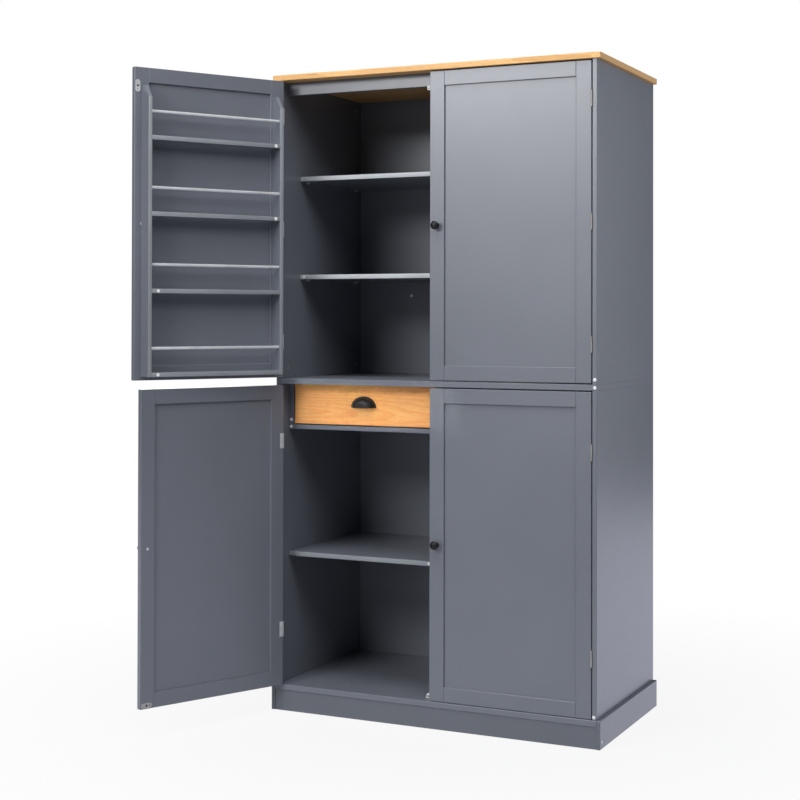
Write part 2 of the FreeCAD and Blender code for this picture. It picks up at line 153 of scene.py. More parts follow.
# slot: name, darker and lighter tone of the coat
PAINTS = {"grey_paint": ("sprayed_satin_paint_on_fibreboard", "#6C707A", "#737782"),
          # The plinth's darker coat is painted shade near the floor.
          "shaded_plinth_paint": ("sprayed_satin_paint_on_plinth", "#5F636B", "#656972")}
finishes = {}
for slot_name, (name, dark, light) in PAINTS.items():
    finishes[slot_name], tree, shader, where = new_finish(name, IOR=1.5, Coat_Weight=0.5, Coat_Roughness=0.3)
    tone = add(tree, "ShaderNodeTexNoise", {"Vector": where, "Scale": 1 / TONE_SIZE, "Detail": 3.0})
    mottle = add(tree, "ShaderNodeTexNoise", {"Vector": where, "Scale": 1 / MOTTLE_SIZE, "Detail": 2.0})
    tone_mix = add(tree, "ShaderNodeMapRange", {"Value": tone.outputs[0], "From Min": 0.3, "From Max": 0.7})
    base = add(tree, "ShaderNodeMix", {0: tone_mix.outputs[0], 6: linear(dark), 7: linear(light)}, data_type="RGBA")
    rounded = add(tree, "ShaderNodeBevel", {"Radius": BOARD_ROUNDING}, samples=4)
    flat = add(tree, "ShaderNodeNewGeometry").outputs["True Normal"]
    bend = add(tree, "ShaderNodeVectorMath", {0: rounded.outputs[0], 1: flat}, operation="DOT_PRODUCT")
    edge = add(tree, "ShaderNodeMapRange", {"Value": bend.outputs["Value"], "From Min": 0.99, "From Max": 0.80})
    patches = add(tree, "ShaderNodeMapRange", {"Value": mottle.outputs[0], "From Min": 0.35, "From Max": 0.70,
                                               "To Min": 0.1, "To Max": 0.5})
    # The paler mix along the edges is partly wear and partly a painted highlight.
    wear_and_highlight = add(tree, "ShaderNodeMath", {0: edge.outputs[0], 1: patches.outputs[0]}, operation="MULTIPLY")
    worn_and_highlit = add(tree, "ShaderNodeMix", {0: wear_and_highlight.outputs[0], 6: base.outputs[2], 7: linear(RUBBED_AND_HIGHLIT)}, data_type="RGBA")
    gloss = add(tree, "ShaderNodeMapRange", {"Value": mottle.outputs[0], "From Min": 0.3, "From Max": 0.7,
                                             "To Min": 0.34, "To Max": 0.38})
    peel = add(tree, "ShaderNodeTexNoise", {"Vector": where, "Scale": 1 / PEEL_SIZE, "Detail": 1.0})
    ripple = add(tree, "ShaderNodeBump", {"Strength": 0.15, "Distance": PEEL_HEIGHT, "Height": peel.outputs[0],
                                          "Normal": rounded.outputs[0]})
    tree.links.new(worn_and_highlit.outputs[2], shader.inputs["Base Color"])
    tree.links.new(gloss.outputs[0], shader.inputs["Roughness"])
    tree.links.new(ripple.outputs[0], shader.inputs["Normal"])
    print(name, "nodes", len(tree.nodes))

# %% [markdown]
# ## Lacquered oak
# The top and the drawer front are boards with an oak veneer, cut so that the growth rings run out in pointed arches,
# and sealed with a matt clear lacquer. Oak shows ring bands 6 to 9 mm apart and short dark pores along the grain. A
# Wave texture in ring mode about the board's length gives the rings. Tilting its axis a few degrees makes the arches,
# and stretched noise bends the rings and draws the pores. The drawer front gets a brighter, more orange copy of the
# oak as painted light against the shade in its recess, and the top a duller copy as painted shade against the strong
# light on its front edge.

# %% Oak for the top and for the drawer front
RING_SPACING, RING_WANDER = 8.5 * MM, 30 * MM
WANDER_LONG, WANDER_WIDE = 450 * MM, 50 * MM      # how slowly the rings wander along and across the grain
# Oak pores are 0.3 mm wide and up to 20 mm long. They are drawn 1.6 mm wide and longer, so that they show.
PORE_LONG, PORE_WIDE, PORE_DEEP, VENEER_ROUNDING = 55 * MM, 1.6 * MM, 0.08 * MM, 1.2 * MM
# board: place of the log's heart, tilt of the log in degrees, colours of early wood, late wood and pores
# The drawer's brighter colours are painted light against the shade in its recess, and the top's duller ones are painted
# shade against the strong light on its edge.
OAK_BOARDS_LIT_AND_SHADED = {"top": ((0.10, 0.02, 1.665), (0.0, 2.6, 0.5), "#EBBD82", "#D8A468", "#C59158"),
              "drawer": ((-0.17, -0.170, 0.795), (0.0, 0.0, 4.2), "#F6BA73", "#ED9C52", "#D98440")}
oak = {}
for board, (heart, tilt, early_wood, late_wood, pores) in OAK_BOARDS_LIT_AND_SHADED.items():
    oak[board], tree, shader, where = new_finish(f"lacquered_oak_veneer_{board}", IOR=1.4)
    log = add(tree, "ShaderNodeMapping", {"Vector": where, "Location": heart,
                                          "Rotation": tuple(math.radians(a) for a in tilt)}, vector_type="TEXTURE")
    long_grain = add(tree, "ShaderNodeMapping", {"Vector": log.outputs[0],
                                                 "Scale": (1 / WANDER_LONG, 1 / WANDER_WIDE, 1 / WANDER_WIDE)})
    drift = add(tree, "ShaderNodeTexNoise", {"Vector": long_grain.outputs[0], "Scale": 1.0, "Detail": 2.0})
    bow = add(tree, "ShaderNodeVectorMath", {0: drift.outputs[1], 1: (0.5, 0.5, 0.5)}, operation="SUBTRACT")
    bent = add(tree, "ShaderNodeVectorMath", {0: bow.outputs[0], 1: (0.0, RING_WANDER, RING_WANDER),
                                              2: log.outputs[0]}, operation="MULTIPLY_ADD")
    # A ring wave repeats every 2 pi / (20 * scale) metres.
    rings = add(tree, "ShaderNodeTexWave", {"Vector": bent.outputs[0], "Scale": 2 * math.pi / (20 * RING_SPACING),
                                            "Distortion": 0.6, "Detail": 2.0, "Detail Scale": 1.5},
                wave_type="RINGS", rings_direction="X", wave_profile="SAW")
    band = add(tree, "ShaderNodeMapRange", {"Value": rings.outputs[1], "From Min": 0.15, "From Max": 1.0,
                                            "To Max": 0.75}, interpolation_type="SMOOTHSTEP")
    figure = add(tree, "ShaderNodeMix", {0: band.outputs[0], 6: linear(early_wood), 7: linear(late_wood)},
                 data_type="RGBA")
    fibre = add(tree, "ShaderNodeMapping", {"Vector": log.outputs[0],
                                            "Scale": (1 / PORE_LONG, 1 / PORE_WIDE, 1 / PORE_WIDE)})
    pore = add(tree, "ShaderNodeTexNoise", {"Vector": fibre.outputs[0], "Scale": 1.0, "Detail": 2.0})
    pore_mark = add(tree, "ShaderNodeMapRange", {"Value": pore.outputs[0], "From Min": 0.52, "From Max": 0.72,
                                                 "To Max": 0.6})
    grained = add(tree, "ShaderNodeMix", {0: pore_mark.outputs[0], 6: figure.outputs[2], 7: linear(pores)},
                  data_type="RGBA")
    gloss = add(tree, "ShaderNodeMapRange", {"Value": pore.outputs[0], "From Min": 0.4, "From Max": 0.7,
                                             "To Min": 0.58, "To Max": 0.72})
    rounded = add(tree, "ShaderNodeBevel", {"Radius": VENEER_ROUNDING}, samples=4)
    hollow = add(tree, "ShaderNodeBump", {"Strength": 0.3, "Distance": PORE_DEEP, "Height": pore_mark.outputs[0],
                                          "Normal": rounded.outputs[0]}, invert=True)
    tree.links.new(grained.outputs[2], shader.inputs["Base Color"])
    tree.links.new(gloss.outputs[0], shader.inputs["Roughness"])
    tree.links.new(hollow.outputs[0], shader.inputs["Normal"])
    print("oak for the", board, "rings every", round(RING_SPACING * 1000, 1), "mm")

# %% [markdown]
# ## The smaller finishes
# Seven more finishes cover the fittings. The drawer box is board wrapped in pale grey printed paper. Rods and pins are
# zinc-plated steel, which is duller than chrome and faintly clouded, and the hinges have a darker, matt nickel plating,
# except the leaves on the open left doors, which keep the brighter steel as painted light. The knobs and the pull are
# cast and powder-coated satin black, with a fine pimpled skin. Caps and catches are moulded polypropylene, milky and
# smooth, and the shelves and racks have strips of plastic on their front edges.
# They share one pattern of nodes: noise that shifts colour and gloss, and a finer noise for the skin.

# %% Drawer board, metals and plastics
# slot: name, dark and light colour, noise size along the three axes in mm, roughness range, size and height of the
# skin in mm, constant sockets
SMALL_FINISHES = {
    "drawer_board": ("paper_wrapped_drawer_board", "#8F9196", "#9B9DA2", (3, 3, 3), (0.45, 0.55), 2.5, 0.02, {}),
    "steel": ("zinc_plated_steel", "#D6D9DC", "#E6E8EA", (30, 30, 30), (0.32, 0.40), 6.0, 0.01, {"Metallic": 0.5}),
    "hinge": ("matt_nickel_plating", "#A5A29E", "#B5B2AE", (3, 3, 15), (0.42, 0.52), 2.0, 0.02, {"Metallic": 0.6}),
    "black_metal": ("satin_black_powder_coat", "#08080A", "#111214", (6, 6, 6), (0.36, 0.46), 1.6, 0.05, {"IOR": 1.38}),
    "white_plastic": ("moulded_white_polypropylene", "#F2F4F5", "#FCFDFD", (5, 5, 5), (0.34, 0.44), 2.0, 0.01, {}),
    # The paler strip of the upper shelves is mid grey edging with a painted sheen on top.
    "edge_strip": ("pale_grey_plastic_edging", "#BABEC4", "#C5C9CE", (70, 70, 70), (0.30, 0.38), 3.0, 0.02, {}),
    "rack_strip": ("mid_grey_plastic_edging", "#8B8F96", "#94989F", (70, 70, 70), (0.30, 0.38), 3.0, 0.02, {}),
}
for slot_name, (name, dark, light, grain, glosses, skin_size, skin_height, constants) in SMALL_FINISHES.items():
    finishes[slot_name], tree, shader, where = new_finish(name, **constants)
    stretched = add(tree, "ShaderNodeMapping", {"Vector": where, "Scale": tuple(1 / (size * MM) for size in grain)})
    streak = add(tree, "ShaderNodeTexNoise", {"Vector": stretched.outputs[0], "Scale": 1.0, "Detail": 3.0})
    spread = add(tree, "ShaderNodeMapRange", {"Value": streak.outputs[0], "From Min": 0.3, "From Max": 0.7})
    colour = add(tree, "ShaderNodeMix", {0: spread.outputs[0], 6: linear(dark), 7: linear(light)}, data_type="RGBA")
    gloss = add(tree, "ShaderNodeMapRange", {"Value": streak.outputs[0], "From Min": 0.3, "From Max": 0.7,
                                             "To Min": glosses[0], "To Max": glosses[1]})
    skin = add(tree, "ShaderNodeTexNoise", {"Vector": where, "Scale": 1 / (skin_size * MM), "Detail": 1.0})
    ripple = add(tree, "ShaderNodeBump", {"Strength": 0.3, "Distance": skin_height * MM, "Height": skin.outputs[0]})
    tree.links.new(colour.outputs[2], shader.inputs["Base Color"])
    tree.links.new(gloss.outputs[0], shader.inputs["Roughness"])
    tree.links.new(ripple.outputs[0], shader.inputs["Normal"])
print("smaller finishes", list(SMALL_FINISHES))

# %% Put the finishes on the CAD boards
for name, node in frame["nodes"].items():
    for slot in node.material_slots:
        kind = slot.material.name.split(".")[0]
        # The brighter steel on the left doors' hinges is painted light, for the dimmer light those doors stand in.
        if "hinge" in name and "left" not in name:
            kind = "hinge"      # the open left doors keep the brighter steel on their hinges as painted light; the rest take the duller nickel
        # The plinth boards get the darker coat, which is painted shade.
        if name.startswith("plinth"):
            kind = "shaded_plinth_paint"
        slot.material = oak["top" if name == "top_board" else "drawer"] if kind == "oak" else finishes[kind]
print("dressed", len(frame["nodes"]), "boards and fittings")

# %% [markdown]
# ## Tools for the fittings
# A door fitting is made once, for the closed right-hand door of its tier, because there the CAD box gives its place
# directly. The left doors are mirror images that stand open, so their fittings are mirrored and then swung about the
# hinge line that the record names. A lathe function turns a profile about its axis, as a wood or metal turner would,
# and a punch function cuts a sheet-metal plate with its holes.

# %% Door placing
hinges = {joint["child"]: joint for joint in frame["joints"] if joint["child"].endswith("_door")}
FACING_OUT = Matrix.Rotation(math.pi / 2, 4, "X")      # turns a fitting's own up axis towards the viewer
FACING_IN = Matrix.Rotation(-math.pi / 2, 4, "X")      # and towards the back of the cupboard


def onto_door(door):
    """Takes a fitting from the closed right-hand door of its tier to this door as it stands."""
    joint = hinges[door]
    pivot = Matrix.Translation(joint["pos_m"])
    swing = Matrix.Rotation(math.radians(-joint["range_deg"][0]), 4, Vector(joint["axis"]))
    side = Matrix.Diagonal((-1, 1, 1, 1)) if "left" in door else Matrix.Identity(4)
    return pivot @ swing @ pivot.inverted() @ side


print("doors", list(hinges))

# %% Lathe and punch
import bmesh


def turn(bm, profile, steps):
    """Turns (radius, height) points about the up axis into a closed skin."""
    rows = [[bm.verts.new((radius * math.cos(2 * math.pi * i / steps), radius * math.sin(2 * math.pi * i / steps),
                           height)) for i in range(steps if radius else 1)] for radius, height in profile]
    for low, high in zip(rows, rows[1:]):
        for i in range(steps):
            corners = (low[i % len(low)], low[(i + 1) % len(low)], high[(i + 1) % len(high)], high[i % len(high)])
            bm.faces.new(list(dict.fromkeys(corners)))


def fill(bm, *loops):
    """Fills the flat area between closed loops of corners, the outer loop first."""
    edges = [bm.edges.get((a, b)) or bm.edges.new((a, b)) for loop in loops for a, b in zip(loop, loop[1:] + loop[:1])]
    made = bmesh.ops.triangle_fill(bm, edges=edges, use_beauty=True, normal=(0, 0, 1))
    return [part for part in made["geom"] if isinstance(part, bmesh.types.BMFace)]


def punch(bm, outline, holes, thick):
    """A flat plate with holes, from its underside at 0 up to its thickness."""
    faces = fill(bm, *[[bm.verts.new((u, v, 0)) for u, v in loop] for loop in [outline] + holes])
    lifted = bmesh.ops.extrude_face_region(bm, geom=faces)["geom"]
    bmesh.ops.translate(bm, verts=[v for v in lifted if isinstance(v, bmesh.types.BMVert)], vec=(0, 0, thick))


def circle(radius, steps, u=0.0, v=0.0):
    """Corners of a round hole."""
    return [(u + radius * math.cos(2 * math.pi * i / steps), v + radius * math.sin(2 * math.pi * i / steps))
            for i in range(steps)]


# %% Keeping a finished piece
MERGE_DISTANCE, PIECE_CREASE = 0.002 * MM, math.radians(38)      # edges that bend more than the crease stay sharp


def keep_piece(name, parts, body, replaced=()):
    """Joins (bmesh, finish) parts into one finished piece that rides on a body."""
    whole, kinds = bmesh.new(), []
    for bm, kind in parts:
        if kind not in kinds:
            kinds.append(kind)
        bmesh.ops.remove_doubles(bm, verts=bm.verts, dist=MERGE_DISTANCE)
        bmesh.ops.recalc_face_normals(bm, faces=bm.faces)
        for face in bm.faces:
            face.material_index, face.smooth = kinds.index(kind), True
        part = bpy.data.meshes.new(name)
        bm.to_mesh(part)
        bm.free()
        whole.from_mesh(part)
        bpy.data.meshes.remove(part)
    mesh = bpy.data.meshes.new(name)
    whole.to_mesh(mesh)
    whole.free()
    for kind in kinds:
        mesh.materials.append(finishes[kind])
    mesh.set_sharp_from_angle(angle=PIECE_CREASE)
    made = bpy.data.objects.new(name, mesh)
    bpy.context.scene.collection.objects.link(made)
    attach(made, body)
    if replaced:
        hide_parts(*replaced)
    print(name, "faces", len(mesh.polygons))


# %% [markdown]
# ## Knobs and their screws
# Each door has a mushroom knob of cast metal, held by a machine screw whose head lies flush with the inside of the
# door. A knob is a turned shape, so the lathe makes it from a profile measured on the photograph. The screw head is
# turned as well, and its cross recess is cut by filling the top between the rim and a cross, and sinking the cross.

# %% Screw head
SCREW_PROFILE = ((0.0, 0.0), (1.0, 0.0), (0.98, 0.45), (0.82, 0.85))      # radius and height, as shares of the head
CROSS_REACH, CROSS_HALF, CROSS_TAPER, CROSS_FLOOR = 0.52, 0.13, 0.8, 0.2
SCREW_RADIUS, SCREW_RISE = 2.6 * MM, 0.8 * MM      # the common size, for hinges, rack and catches


def screw_head(radius, rise, steps=16):
    """A low domed head with a cross recess, standing on 0 and facing up."""
    bm = bmesh.new()
    turn(bm, [(r * radius, h * rise) for r, h in SCREW_PROFILE], steps)
    bm.verts.ensure_lookup_table()
    rim = list(bm.verts)[-steps:]
    a, b = CROSS_REACH * radius, CROSS_HALF * radius
    cross = [(a, -b), (a, b), (b, b), (b, a), (-b, a), (-b, b),
             (-a, b), (-a, -b), (-b, -b), (-b, -a), (b, -a), (b, -b)]
    mouth = [bm.verts.new((u, v, rise)) for u, v in cross]
    fill(bm, rim, mouth)
    floor_corners = [bm.verts.new((u * CROSS_TAPER, v * CROSS_TAPER, rise * CROSS_FLOOR)) for u, v in cross]
    for i in range(len(cross)):
        j = (i + 1) % len(cross)
        bm.faces.new((mouth[i], mouth[j], floor_corners[j], floor_corners[i]))
    bm.faces.new(floor_corners)
    return bm


print(f"common screw head {2 * SCREW_RADIUS / MM:.1f} mm across, {SCREW_RISE / MM:.1f} mm high")

# %% Knobs
# Radius as a share of the knob's largest radius, height as a share of its reach from the door.
KNOB_PROFILE = ((0.0, 0.0), (0.60, 0.0), (0.62, 0.04), (0.58, 0.08), (0.48, 0.14), (0.44, 0.24), (0.47, 0.34),
                (0.60, 0.44), (0.80, 0.52), (0.94, 0.59), (1.0, 0.67), (0.99, 0.75), (0.92, 0.83), (0.79, 0.90),
                (0.60, 0.955), (0.38, 0.985), (0.18, 0.997), (0.0, 1.0))
KNOB_SCREW_RADIUS, KNOB_SCREW_RISE = 3.9 * MM, 0.8 * MM
for door in hinges:
    tier = door.split("_")[0]
    low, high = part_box(f"{tier}_right_door_knob")
    face_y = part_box(f"{tier}_right_door_stiles")[0].y
    middle = (low + high) / 2
    knob = bmesh.new()
    turn(knob, [(r * (high.x - low.x) / 2, h * (face_y - low.y)) for r, h in KNOB_PROFILE], 40)
    knob.transform(onto_door(door) @ Matrix.Translation((middle.x, face_y, middle.z)) @ FACING_OUT)
    screw = screw_head(KNOB_SCREW_RADIUS, KNOB_SCREW_RISE)
    screw.transform(onto_door(door) @ Matrix.Translation((middle.x, high.y - KNOB_SCREW_RISE, middle.z)) @ FACING_IN)
    keep_piece(f"{door}_turned_knob", [(knob, "black_metal"), (screw, "steel")], door, [f"{door}_knob"])
print("knobs", len(hinges))

# %% [markdown]
# ## Strike plates
# A strike plate is the bit of sheet steel that the magnet grips. It is an oblong with round ends, one screw through
# its middle and a small dimple that sets its place. A plain box would lose the round ends that the photograph shows,
# so the outline is punched with its two holes. The screw set flush in the larger one is black, and the smaller one
# gets a black floor: painted shade, standing for the shadow in the two holes that makes them read as dark dots.

# %% Strike plates
PLATE_SCREW_RADIUS, PLATE_SCREW_RISE, DIMPLE_RADIUS = 2.8 * MM, 0.55 * MM, 1.5 * MM
PLATE_HOLE_RADIUS = 1.05 * PLATE_SCREW_RADIUS
DIMPLE_PROFILE = ((0, 0), (1.1, 0), (1.1, 0.3), (0, 0.2))      # shares of the dimple's radius and the plate's thickness
for door in hinges:
    low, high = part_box(f"{door.split('_')[0]}_right_door_strike_plate")
    size = high - low
    upright = size.z > size.x
    length, end = max(size.x, size.z), min(size.x, size.z) / 2
    straight = length / 2 - end
    outline = [(math.copysign(straight, math.cos(a)) + end * math.cos(a), end * math.sin(a))
               for a in (math.pi * (i + 0.5) / 12 for i in range(24))]
    place = (onto_door(door) @ Matrix.Translation(((low.x + high.x) / 2, low.y, (low.z + high.z) / 2)) @ FACING_IN
             @ Matrix.Rotation(math.pi / 2 if upright else 0.0, 4, "Z"))
    plate = bmesh.new()
    punch(plate, outline, [circle(PLATE_HOLE_RADIUS, 16), circle(DIMPLE_RADIUS, 12, straight)], size.y)
    plate.transform(place)
    screw = screw_head(PLATE_SCREW_RADIUS, PLATE_SCREW_RISE)
    screw.transform(place @ Matrix.Translation((0, 0, size.y - PLATE_SCREW_RISE)))
    dimple_shade_floor = bmesh.new()
    turn(dimple_shade_floor, [(r * DIMPLE_RADIUS, h * size.y) for r, h in DIMPLE_PROFILE], 12)
    dimple_shade_floor.transform(place @ Matrix.Translation((straight, 0, 0)))
    # The black screw and the black floor of the small hole are painted shade.
    keep_piece(f"{door}_strike", [(plate, "steel" if upright else "hinge"), (screw, "black_metal"),
                                  (dimple_shade_floor, "black_metal")], door, [f"{door}_strike_plate"])
print("strike plates", len(hinges))

# %% [markdown]
# ## Magnetic catches
# Behind the middle of each pair of doors sits a double catch: a white moulded housing on a plate whose two ears are
# screwed to the board. The housing has two pockets, and in each is a black magnet between two steel pole plates. It is
# a rounded block with a punched front frame, and the poles stand a hair proud, so that they meet the strike plates.
# The upper catch hangs from its plate and the lower one stands on it, so one is the other turned over.

# %% Block with softened edges
def block(low, high, rounding):
    """A moulded block between two corners with softened edges."""
    bm = bmesh.new()
    bmesh.ops.create_cube(bm, size=1.0)
    low, high = Vector(low), Vector(high)
    bm.transform(Matrix.Translation((low + high) / 2) @ Matrix.Diagonal((*(high - low), 1)))
    if rounding:
        bmesh.ops.bevel(bm, geom=bm.edges[:], offset=rounding, segments=3, affect="EDGES", profile=0.5)
    return bm


# %% Catches
HOUSING_HALF, PLATE_DEEP, PLATE_THICK, CATCH_HIGH = 13 * MM, 14 * MM, 3 * MM, 13 * MM
POCKET_DEPTH, POLE_THICK, POLE_PROUD, RIM = 2.0 * MM, 1.2 * MM, 0.3 * MM, 1.0 * MM
POCKET_HALF, MAGNET_SHARE = Vector((4.8, 3.2)) * MM, 0.92      # a magnet fills this share of its pocket's width
MAGNET_X, MAGNET_HALF, MAGNET_BACK, EAR_SCREW_X = 6.2 * MM, 1.4 * MM, 0.6 * MM, 17.2 * MM
OVERLAP, RIM_INSET, PLATE_ROUNDING, POLE_ROUNDING = 0.2 * MM, 0.4 * MM, 0.6 * MM, 0.2 * MM


def catch_parts(low, high):
    """A catch that stands up from its plate at height 0, between the CAD box's front and back."""
    middle = (PLATE_THICK + CATCH_HIGH) / 2
    back_of_rim = low.y + POCKET_DEPTH + RIM
    housing_corner = (-HOUSING_HALF, low.y + POCKET_DEPTH, PLATE_THICK - OVERLAP)
    plate_corner = (low.x, high.y - PLATE_DEEP, 0)
    parts = [(block(housing_corner, (HOUSING_HALF, high.y, CATCH_HIGH), RIM), "white_plastic"),
             (block(plate_corner, (high.x, high.y, PLATE_THICK), PLATE_ROUNDING), "white_plastic")]
    corners = ((-1, -1), (1, -1), (1, 1), (-1, 1))
    half = Vector((HOUSING_HALF - RIM_INSET, (CATCH_HIGH - PLATE_THICK) / 2 - RIM_INSET))
    pockets = [[(side * MAGNET_X + u * POCKET_HALF.x, v * POCKET_HALF.y) for u, v in corners] for side in (-1, 1)]
    rim = bmesh.new()
    punch(rim, [(u * half.x, v * half.y) for u, v in corners], pockets, POCKET_DEPTH + RIM)
    rim.transform(Matrix.Translation((0, back_of_rim, middle)) @ FACING_OUT)
    parts.append((rim, "white_plastic"))
    for side in (-1, 1):
        left, right = (side * MAGNET_X + end * POCKET_HALF.x * MAGNET_SHARE for end in (-1, 1))
        magnet = block((left, low.y + MAGNET_BACK, middle - MAGNET_HALF), (right, back_of_rim, middle + MAGNET_HALF), 0)
        parts.append((magnet, "black_metal"))
        for z in (middle - MAGNET_HALF - POLE_THICK, middle + MAGNET_HALF):
            pole = block((left, low.y - POLE_PROUD, z), (right, back_of_rim, z + POLE_THICK), POLE_ROUNDING)
            parts.append((pole, "steel"))
        screw = screw_head(SCREW_RADIUS, SCREW_RISE)
        screw.transform(Matrix.Translation((side * EAR_SCREW_X, high.y - PLATE_DEEP / 2, PLATE_THICK)))
        parts.append((screw, "steel"))
    return parts


low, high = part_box("magnetic_catches")
both_catches = []
for foot, over in ((low.z, 1), (high.z, -1)):
    for bm, kind in catch_parts(low, high):
        bm.transform(Matrix.Translation((0, 0, foot)) @ Matrix.Diagonal((1, 1, over, 1)))
        both_catches.append((bm, kind))
keep_piece("double_catches", both_catches, "carcass", ["magnetic_catches"])
print("catch parts", len(both_catches))

# %% [markdown]
# ## Edge strips
# The front edges of the loose shelves and of the racks are paler than the paint: a rounded strip of plastic edging,
# about half a millimetre thick, is pressed onto each. A strip is a block as long as its board with softened edges. The
# two upper shelves get a still paler strip than the lower shelf and the racks, and that extra lightness is a painted
# sheen.

# %% Edge strips on the shelves
STRIP_PROUD, STRIP_DEEP, STRIP_ROUNDING = 0.6 * MM, 1.0 * MM, 0.5 * MM
EDGED_SHELVES = ("upper_shelf_low", "upper_shelf_high", "lower_shelf")
strips = []
for shelf in EDGED_SHELVES:
    low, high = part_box(shelf)
    strip = block((low.x, low.y - STRIP_PROUD, low.z), (high.x, low.y + STRIP_DEEP, high.z), STRIP_ROUNDING)
    # The upper shelves' paler strip carries a painted sheen.
    strips.append((strip, "rack_strip" if shelf == "lower_shelf" else "edge_strip"))
keep_piece("shelf_edge_strips", strips, "carcass")

# %% Edge strips on the racks
RACK_SHELVES = [z * MM for z in (905.0, 1115.8, 1309.7, 1501.5)]      # middles of the rack's shelves
RACK_SHELF_HALF, RACK_SIDE_THICK, BEVEL_HIGH = 5.5 * MM, 10 * MM, 31 * MM
low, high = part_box("upper_right_door_rack_sides")
inner_left, inner_right = low.x + RACK_SIDE_THICK, high.x - RACK_SIDE_THICK
# left, right, bottom and top of each strip: the two sides below their bevels, then the shelves
RACK_STRIPS = [(low.x, inner_left, low.z, high.z - BEVEL_HIGH), (inner_right, high.x, low.z, high.z - BEVEL_HIGH)]
RACK_STRIPS += [(inner_left, inner_right, z - RACK_SHELF_HALF, z + RACK_SHELF_HALF) for z in RACK_SHELVES]
for door in ("upper_left_door", "upper_right_door"):
    strips = []
    for left, right, bottom, top in RACK_STRIPS:
        strip = block((left, high.y - STRIP_DEEP, bottom), (right, high.y + STRIP_PROUD, top), STRIP_ROUNDING)
        strip.transform(onto_door(door))
        strips.append((strip, "rack_strip"))
    keep_piece(f"{door}_rack_edge_strips", strips, door)

# %% [markdown]
# ## Caps and cam locks
# White stick-on caps hide the screws along the front edges of the boards and on the shelves of the rack. The zinc ends
# of the cam locks, inside the upper sides, have nearly the same form. They are all one low dome, so a Geometry Nodes
# tree makes the dome and sets one on every point, turned along the direction stored with that point. The result is
# realised into one plain mesh a body.

# %% Tree for domed caps
def new_tree(name, inputs):
    """An empty geometry tree with named inputs."""
    tree = bpy.data.node_groups.new(name, "GeometryNodeTree")
    for label, kind in {"Geometry": "Geometry", **inputs}.items():
        tree.interface.new_socket(label, in_out="INPUT", socket_type=f"NodeSocket{kind}")
    tree.interface.new_socket("Geometry", in_out="OUTPUT", socket_type="NodeSocketGeometry")
    return tree, add(tree, "NodeGroupInput").outputs


cap_tree, given = new_tree("domed_cap", {"Diameter": "Float", "Edge": "Float", "Rise": "Float", "Finish": "Material"})
radius = add(cap_tree, "ShaderNodeMath", {0: given["Diameter"], 1: 0.5}, operation="MULTIPLY").outputs[0]
disc = add(cap_tree, "GeometryNodeMeshCylinder", {"Vertices": 20, "Fill Segments": 3, "Radius": radius,
                                                  "Depth": given["Edge"]})
outwards = add(cap_tree, "ShaderNodeVectorMath", {0: add(cap_tree, "GeometryNodeInputPosition").outputs[0],
                                                  1: (1, 1, 0)}, operation="MULTIPLY")
reach = add(cap_tree, "ShaderNodeVectorMath", {0: outwards.outputs[0]}, operation="LENGTH")
swell = add(cap_tree, "ShaderNodeMapRange", {"Value": reach.outputs["Value"], "From Max": radius,
                                             "To Min": given["Rise"], "To Max": 0.0}, interpolation_type="SMOOTHSTEP")
lift = add(cap_tree, "ShaderNodeCombineXYZ", {"Z": swell.outputs[0]})
dome = add(cap_tree, "GeometryNodeSetPosition", {"Geometry": disc.outputs["Mesh"], "Selection": disc.outputs["Top"],
                                                 "Offset": lift.outputs[0]})
stored = add(cap_tree, "GeometryNodeInputNamedAttribute", {"Name": "facing"}, data_type="FLOAT_VECTOR")
along = add(cap_tree, "FunctionNodeAlignRotationToVector", {"Vector": stored.outputs[0]}, axis="Z")
many = add(cap_tree, "GeometryNodeInstanceOnPoints", {"Points": given["Geometry"], "Instance": dome.outputs[0],
                                                      "Rotation": along.outputs[0]})
real = add(cap_tree, "GeometryNodeRealizeInstances", {0: many.outputs[0]})
coated = add(cap_tree, "GeometryNodeSetMaterial", {"Geometry": real.outputs[0], "Material": given["Finish"]})
add(cap_tree, "NodeGroupOutput", {0: coated.outputs[0]})
print("cap tree nodes", len(cap_tree.nodes))

# %% Running a tree on its points
FITTING_CREASE = math.radians(45)


def set_fittings(name, tree, values, places, body, replaced=()):
    """Runs a tree on (point, facing) places and keeps the result as a plain piece on a body."""
    mesh = bpy.data.meshes.new(name)
    mesh.from_pydata([point for point, _ in places], [], [])
    facing = mesh.attributes.new("facing", "FLOAT_VECTOR", "POINT")
    for stored_facing, (_, direction) in zip(facing.data, places):
        stored_facing.vector = direction
    made = bpy.data.objects.new(name, mesh)
    bpy.context.scene.collection.objects.link(made)
    modifier = made.modifiers.new("fittings", "NODES")
    modifier.node_group = tree
    for item in tree.interface.items_tree:
        if item.in_out == "INPUT" and item.name in values:
            modifier[item.identifier] = values[item.name]
    plain = bpy.data.meshes.new_from_object(made.evaluated_get(bpy.context.evaluated_depsgraph_get()))
    made.modifiers.remove(modifier)
    made.data = plain
    plain.polygons.foreach_set("use_smooth", [True] * len(plain.polygons))
    plain.set_sharp_from_angle(angle=FITTING_CREASE)
    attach(made, body)
    if replaced:
        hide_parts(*replaced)
    print(name, "fittings", len(places), "faces", len(plain.polygons))


# %% Caps on the carcass
CAP = {"Diameter": 8.6 * MM, "Edge": 1.0 * MM, "Rise": 0.6 * MM, "Finish": finishes["white_plastic"]}
OUT, BACK = Vector((0, -1, 0)), Vector((0, 1, 0))


def on_front_edge(board, x, height):
    """A point on the front edge of a board, at a height above its foot, where 0 stands for half way up."""
    low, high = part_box(board)
    face = low.y - STRIP_PROUD if board in EDGED_SHELVES else low.y
    return Vector((x * MM, face, low.z + height * MM if height else (low.z + high.z) / 2))


